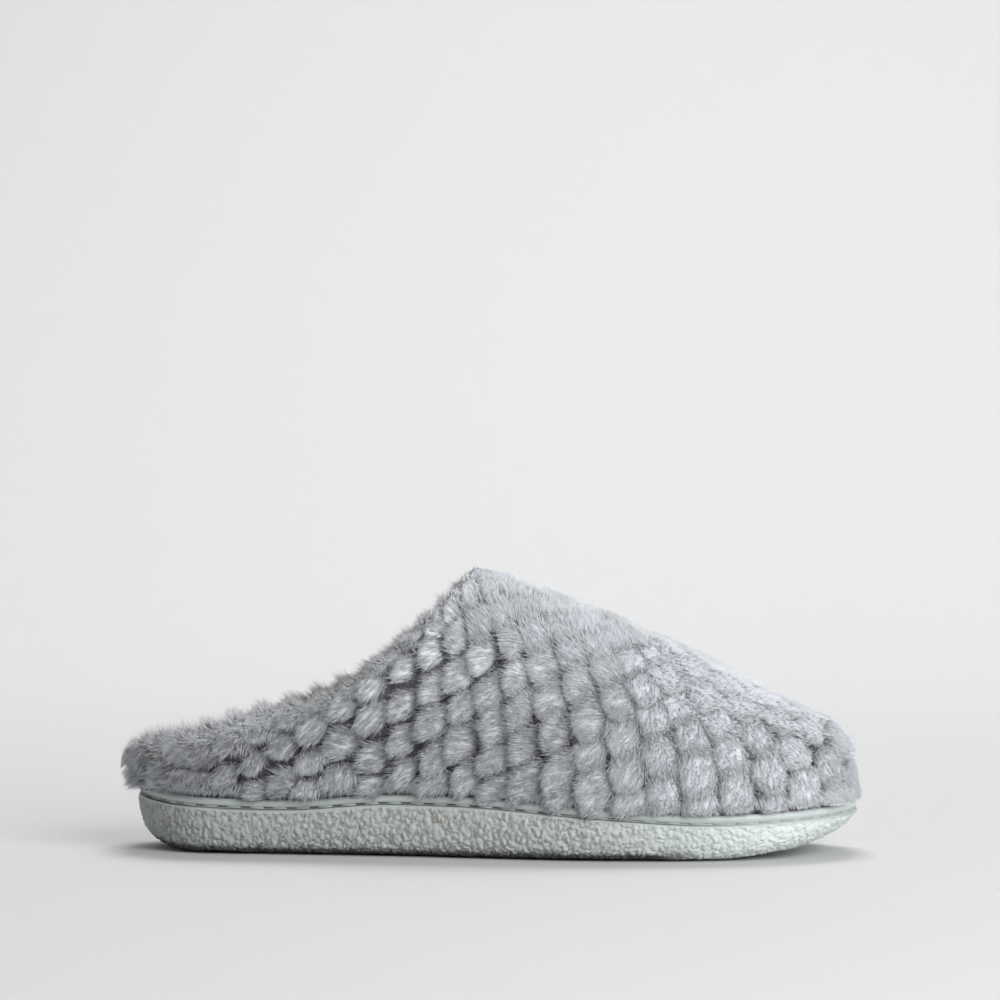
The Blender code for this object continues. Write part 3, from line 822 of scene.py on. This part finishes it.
    roots[:, 2] = np.maximum(roots[:, 2], hem + 0.8 * MM)
    locks = lock.max() + 1
    shades = tuft_shade + rng.normal(0, 0.05 + 0.06 * rear, locks)[lock]
    shades = shades + rng.normal(0, 0.045, len(roots))
    # Tips are drawn darker at the tuft's upstream end: painted shade under the overhang of the tuft before
    # it.
    tip_tones = (0.32 - 0.08 * heel) * ahead + rng.normal(0, 0.08 + 0.14 * heel, locks)[lock]
    tip_tones = np.clip(0.88 + 0.06 * lit_from_above + tip_tones * (1 - 0.6 * calm), 0.45 - 0.12 * heel, 0.99)

    # Skirt: short hair round the sides of the body.
    skirt = count // 4
    angle = rng.uniform(0, 2 * math.pi, skirt)
    reach = squared(angle, squareness)
    outward = np.outer(np.cos(angle) * reach, wide) + np.outer(np.sin(angle) * reach, long)
    sink = rng.uniform(BODY_SINK + 0.6 * BODY_DROP, max(deep - 1.0 * MM, BODY_SINK + 0.7 * BODY_DROP), skirt)
    skirt_roots = centre + outward * BODY_FOOT - np.outer(sink, normal)
    lean = unit(unit(outward) * 0.75 + normal * 0.6 + nap * 0.35 + rng.normal(0, 0.2, outward.shape))
    skirt_tips = skirt_roots + lean * rng.uniform(1.8, 3.4, (skirt, 1)) * MM
    if by_rim:
        skirt_roots, skirt_tips = (inside_rim(points, centre, edge) for points in (skirt_roots, skirt_tips))
    skirt_tips[:, 2] = np.clip(skirt_tips[:, 2], hem, PEAK - 1.0 * MM)
    skirt_roots[:, 2] = np.maximum(skirt_roots[:, 2], hem + 0.8 * MM)
    # The skirt is drawn darker: painted shade down between the tufts.
    skirt_shades = tuft_shade - 0.12 + rng.normal(0, 0.06, skirt)

    home = piles[piece_of(tuft["centre"])]
    # Roots: painted shade, darker at the heel, lighter under the close pile, and paler higher up.
    root_tone = 0.34 - 0.1 * heel + 0.16 * calm + 0.34 * lit_from_above
    home.add(roots, tips, cool_only(shades), root_tone, tip_tones, 1 - 0.15 * toe)
    home.add(skirt_roots, skirt_tips, cool_only(skirt_shades), 0.14 + 0.22 * toe, 0.62 + 0.2 * toe)
plush_piece("tuft_bodies", body_points, body_faces, np.array(body_chart))
for name, pile_of_hair in piles.items():
    pile_of_hair.make(name)

# Plush fringe: the lowest pile, turned down over the edge of the sole's lip all the way round.
# It hangs lowest at the ball and at the back of the heel, and its hair is gathered into short locks.
FRINGE_HAIRS = 12000
HAIRS_IN_FRINGE_LOCK = 10
fringe = Pile()
places = rng.uniform(0, run[-1], FRINGE_HAIRS)
lock_place = rng.uniform(0, run[-1], FRINGE_HAIRS // HAIRS_IN_FRINGE_LOCK)
lock_place.sort()
lock = np.searchsorted((lock_place[1:] + lock_place[:-1]) / 2, places)
at = on_groove(places)
ahead = on_groove((places + STEP) % run[-1]) - at
out = unit(np.cross(unit(ahead), (0, 0, 1)))
ball = smoothstep(0.005, 0.03, at[:, 0]) * smoothstep(0.1, 0.075, at[:, 0])
toe = smoothstep(0.06, 0.1, at[:, 0])
heel = smoothstep(-0.108, -0.126, at[:, 0])
hang = (-0.3 - 1.4 * ball + 1.2 * toe - 1.5 * heel) * MM + rng.normal(0, 0.5 * MM, len(lock_place))[lock]
wave = rng.normal(0, 0.6 * MM, len(lock_place))[lock]
drift = (lock_place[lock] - places)[:, None] * unit(ahead)
upward = np.array([0, 0, 1.0])
roots = at + out * rng.uniform(-2.2, -0.2, (FRINGE_HAIRS, 1)) * MM
roots = roots + upward * rng.uniform(6.0, 9.5, (FRINGE_HAIRS, 1)) * MM
tips = at + out * (rng.uniform(1.7, 3.4, FRINGE_HAIRS) * MM + wave * 0.5 + 3.0 * MM * heel)[:, None]
tips = tips + upward * (3.0 * MM + hang + rng.uniform(0, 2.6 * MM, FRINGE_HAIRS))[:, None] + drift * 0.5
tips[:, 0] -= (1 - toe) * rng.uniform(0.3, 1.6, FRINGE_HAIRS) * MM
shades = 0.33 + rng.normal(0, 0.07, len(lock_place))[lock] + rng.normal(0, 0.06, FRINGE_HAIRS)
fringe.add(roots, tips, cool_only(shades), thick=1.2)
fringe.make("plush_fringe")

# Collar roll: the plush turned over the top edge and sewn down inside, a soft roll from heel to throat.
# Its hair fans from the outside over the top to the inside, where the warmer pile of the lining shows.
# The warmer, darker hair over the rim's top edge is painted shade.
ROLL_RISE = 3.4 * MM
ROLL_SINK = 3.8 * MM
ROLL_SIDES = 10
COLLAR_HAIRS = 29000
LUMP_PITCH = 10.5 * MM  # the roll shows the ends of the tufts that are turned over
LUMP_DRIFT = 31 * MM  # the lumps come closer and less close over about this length
FAN = math.radians(-80), math.radians(220)  # the hair's angles, from the outside over the top to the inside
OPENING_MIDDLE = -0.065  # along the slipper
order = np.argsort(np.arctan2(rim_bead[:, 1], rim_bead[:, 0] - OPENING_MIDDLE))
bead = rim_bead[order]
walls = np.array([rim_wall[i] for i in order])
bead_run = np.roll(bead, -1, axis=0) - np.roll(bead, 1, axis=0)
rise = bead - walls
rise -= unit(bead_run) * (rise * unit(bead_run)).sum(axis=1, keepdims=True)
for _ in range(4):
    rise = unit(rise + np.roll(rise, 1, axis=0) + np.roll(rise, -1, axis=0))
outward = np.cross(unit(bead_run), rise)
hearts = np.array([heart(Vector(point))[:] for point in bead])
outward *= np.sign(((bead - hearts) * outward).sum(axis=1, keepdims=True))
core = bead - rise * ROLL_SINK
back = smoothstep(-0.07, -0.115, bead[:, 0])
thick = np.array([rim_thick[i] for i in order]) / 2 - 0.9 * MM
throat = smoothstep(-0.045, -0.015, bead[:, 0])
outer_side = smoothstep(0.005, -0.015, bead[:, 1])
near_heel = outer_side * smoothstep(-0.055, -0.085, bead[:, 0]) * smoothstep(-0.128, -0.115, bead[:, 0])
roll_rise = ROLL_RISE - 1.2 * MM * back - 1.0 * MM * throat - 1.0 * MM * outer_side * (1 - back)
roll_rise += 3.0 * MM * near_heel
points, faces, roll_chart = [], [], []
for i in range(len(core)):
    for k in range(ROLL_SIDES):
        angle = 2 * math.pi * k / ROLL_SIDES
        point = core[i] + outward[i] * thick[i] * math.cos(angle) + rise[i] * roll_rise[i] * math.sin(angle)
        point[2] = min(point[2], PEAK - UNDER_PEAK)
        points.append(point)
        # The roll's inner side is drawn warm and darker: the lining's pile, with painted shade.
        roll_chart.append((0.36 if math.cos(angle) > -0.2 else 0.84, 0.5 + 0.02 * (k % 2) + 0.02 * (i % 2)))
for i in range(len(core)):
    j = (i + 1) % len(core)
    for k in range(ROLL_SIDES):
        n = (k + 1) % ROLL_SIDES
        faces.append((i * ROLL_SIDES + k, j * ROLL_SIDES + k, j * ROLL_SIDES + n, i * ROLL_SIDES + n))
plush_piece("collar_roll", points, faces, np.array(roll_chart))
loop_run = run_along(np.vstack([core, core[:1]]))


def round_collar(places, values):
    """Values of the collar's points, read between them."""
    return np.column_stack([np.interp(places, loop_run, np.append(axis, axis[0])) for axis in values.T])


collar = Pile()
places = rng.uniform(0, loop_run[-1], COLLAR_HAIRS)
angles = rng.uniform(*FAN, COLLAR_HAIRS)
centre, out, up = (round_collar(places, v) for v in (core, outward, rise))
half, height = round_collar(places, thick[:, None]), round_collar(places, roll_rise[:, None])
facing = unit(out * np.cos(angles)[:, None] + up * np.sin(angles)[:, None])
roots = centre + out * half * np.cos(angles)[:, None] * 0.95 + up * height * np.sin(angles)[:, None] * 0.95
spots = np.column_stack([places / (6 * MM), angles])
heel = smoothstep(-0.04, -0.1, centre[:, 0])[:, None]
front = smoothstep(-0.04, -0.012, centre[:, :1])
nap = np.array([-1.0, 0, 0]) * (1 - heel) * (1 - 1.3 * front) + np.array([-0.6, 0, -0.5]) * heel
lean = unit(facing * (0.75 + 0.35 * heel) + nap * (0.5 - 0.3 * heel) + rng.normal(0, 0.22, facing.shape))
inward = smoothstep(0.2, -0.3, np.cos(angles))[:, None]
far = smoothstep(0.0, 0.015, centre[:, 1:2])
by_throat = smoothstep(-0.016, -0.006, centre[:, :1])
by_heel = smoothstep(-0.08, -0.1, centre[:, :1])
at_back = smoothstep(-0.118, -0.126, centre[:, :1])
lengths = rng.uniform(2.0, 4.0, (COLLAR_HAIRS, 1)) * MM
lengths = lengths * (1 + 0.3 * inward + 0.6 * far * (1 - heel) + 0.35 * heel)
lengths *= (1 - 0.4 * by_throat * (1 - inward)) * (1 - 0.45 * far * by_heel)
lump = np.sin(places / LUMP_PITCH * 2 * math.pi + 1.3 * np.sin(places / LUMP_DRIFT))[:, None]
lengths *= (1 + 0.22 * lump) * (1 - 0.35 * at_back)
roots = roots + facing * (0.5 * MM * lump)
tips = roots + lean * lengths
leaders = finder([(*spot, 0) for spot in spots[: COLLAR_HAIRS // HAIRS_IN_LOCK]])
lock = np.array([leaders.find((*spot, 0))[1] for spot in spots])
tips = tips + (tips[lock] - tips) * 0.15
tips[:, 2] = np.minimum(tips[:, 2], PEAK - rng.uniform(0, 0.8, COLLAR_HAIRS) * MM)
# Warm, darker hair over the top and inside: the lining's pile, and painted shade over the rim's top edge.
warm = np.cos(angles) < 0.65 - 0.8 * heel[:, 0] + rng.normal(0, 0.15, COLLAR_HAIRS)
warm |= rng.uniform(size=COLLAR_HAIRS) < 0.35 * heel[:, 0]
shades = rng.normal(0, 0.05, COLLAR_HAIRS // HAIRS_IN_LOCK)[lock] + rng.normal(0, 0.05, COLLAR_HAIRS)
warm_shades = warm_only(0.9 + 0.07 * heel[:, 0] + shades)
cool_shades = cool_only(0.36 + 0.08 * heel[:, 0] + shades)
collar.add(roots, tips, np.where(warm, warm_shades, cool_shades), 0.24 + 0.2 * heel[:, 0])
collar.make("plush_collar")

# Fleece: the short warm pile of the insole's cover and of the lining, brushed back to the heel.
# It is thickest where the collar lets one look in, and thins out towards the dark toe.
FLEECE_HAIRS = 7500  # on each of the two
FLEECE_LENGTH = 2.3 * MM


def fleece_on(piece, name, slot, weights):
    """Short hair on a piece's faces, by a weight for each of its points."""
    piece.data.calc_loop_triangles()
    triangles = np.array([triangle.vertices[:] for triangle in piece.data.loop_triangles])
    corners = coordinates(piece.data)[triangles]
    flat = np.cross(corners[:, 1] - corners[:, 0], corners[:, 2] - corners[:, 0])
    chance = np.linalg.norm(flat, axis=1) * weights[triangles].min(axis=1)
    pick = rng.choice(len(flat), FLEECE_HAIRS, p=chance / chance.sum())
    cuts = np.sort(rng.uniform(size=(FLEECE_HAIRS, 2)), axis=1)
    shares = np.column_stack([cuts[:, 0], cuts[:, 1] - cuts[:, 0], 1 - cuts[:, 1]])
    roots = (corners[pick] * shares[:, :, None]).sum(axis=1)
    lean = unit(unit(flat)[pick] * 0.8 + np.array([-0.5, 0, -0.1]) + rng.normal(0, 0.3, roots.shape))
    tips = roots + lean * FLEECE_LENGTH * rng.uniform(0.7, 1.2, (FLEECE_HAIRS, 1))
    locks = FLEECE_HAIRS // HAIRS_IN_LOCK
    find_lock = finder(roots[:locks])
    lock = np.array([find_lock.find(root)[1] for root in roots])
    tips = tips + (tips[lock] - tips) * 0.3
    shades = 0.85 + rng.normal(0, 0.05, locks)[lock] + rng.normal(0, 0.04, FLEECE_HAIRS)
    fleece_pile = Pile()
    fleece_pile.add(roots - lean * 0.3 * MM, tips, warm_only(shades), 0.35, 0.9, thick=1.3)
    fleece_pile.make(name, slot)


places = coordinates(insole.data)
facing_up = np.array([vertex.normal.z for vertex in insole.data.vertices]) > 0.6
fleece_on(insole, "insole_fleece", "insole", facing_up * smoothstep(0.05, -0.03, places[:, 0]))
places = coordinates(backing.data)
inside_share = np.empty(len(places))
backing.data.attributes["inside"].data.foreach_get("value", inside_share)
above_insole = smoothstep(0.02, 0.026, places[:, 2])
in_sight = smoothstep(0.03, -0.03, places[:, 0])
fleece_on(backing, "lining_fleece", "upper", (inside_share > 0.99) * above_insole * in_sight)

# Stage: a pale paper sweep with wide soft light from above and from the toe's side.
# The camera looks from the photograph's angle.
PAPER = (0.61, 0.61, 0.61)
AIM = Vector((0.0032, 0.0, 0.1237))
DISTANCE = 1.55
FRAME_WIDTH = 0.354
YAW, PITCH = math.radians(6), math.radians(1)
SENSOR = 36
SWEEP_START, SWEEP_RADIUS, SWEEP_TOP = 0.9, 0.9, 3.0
SWEEP_FRONT, SWEEP_HALF_WIDTH = -3.0, 4.0
SWEEP_STEPS = 24

profile = [(SWEEP_FRONT, 0.0), (SWEEP_START, 0.0)]
for step in range(1, SWEEP_STEPS + 1):
    angle = math.radians(90) * step / SWEEP_STEPS
    profile.append((SWEEP_START + SWEEP_RADIUS * math.sin(angle), SWEEP_RADIUS * (1 - math.cos(angle))))
profile.append((SWEEP_START + SWEEP_RADIUS, SWEEP_TOP))
sweep_points = [(x, y, z) for y, z in profile for x in (-SWEEP_HALF_WIDTH, SWEEP_HALF_WIDTH)]
sweep_faces = [(2 * i, 2 * i + 1, 2 * i + 3, 2 * i + 2) for i in range(len(profile) - 1)]
sweep = mesh_piece("paper_sweep", sweep_points, sweep_faces)
paper = Finish("pale_paper", Roughness=0.9)
paper.colour(paper.mix(paper.noise(0.3), tinted(PAPER, 0.99), PAPER))
sweep.data.materials.append(paper.material)

world = bpy.data.worlds.new("studio")
world.use_nodes = True
world.node_tree.nodes["Background"].inputs["Color"].default_value = (0.97, 0.98, 1.0, 1)
world.node_tree.nodes["Background"].inputs["Strength"].default_value = 0.35
bpy.context.scene.world = world


def softbox(name, place, aim, size, watts):
    """A square soft light."""
    light = bpy.data.lights.new(name, "AREA")
    light.size, light.energy = size, watts
    lamp = bpy.data.objects.new(name, light)
    lamp.location = place
    lamp.rotation_euler = (Vector(place) - Vector(aim)).to_track_quat("Z", "Y").to_euler()
    bpy.context.scene.collection.objects.link(lamp)


softbox("backdrop", (0, 1.2, 2.4), (0, 1.6, 0.3), 1.2, 46)
softbox("front", (0.9, -1.1, 0.7), (0.03, 0, 0.05), 1.0, 18)
softbox("toe_side", (1.2, -0.7, 0.25), (0.03, 0, 0.05), 0.5, 3.0)

away = Vector((math.sin(YAW) * math.cos(PITCH), -math.cos(YAW) * math.cos(PITCH), math.sin(PITCH)))
camera_data = bpy.data.cameras.new("camera")
camera_data.sensor_width = SENSOR
camera_data.lens = SENSOR * DISTANCE / FRAME_WIDTH
camera_data.clip_end = 50
camera = bpy.data.objects.new("camera", camera_data)
camera.location = AIM + away * DISTANCE
camera.rotation_euler = away.to_track_quat("Z", "Y").to_euler()
bpy.context.scene.collection.objects.link(camera)
bpy.context.scene.camera = camera
bpy.context.scene.view_settings.view_transform = "Standard"
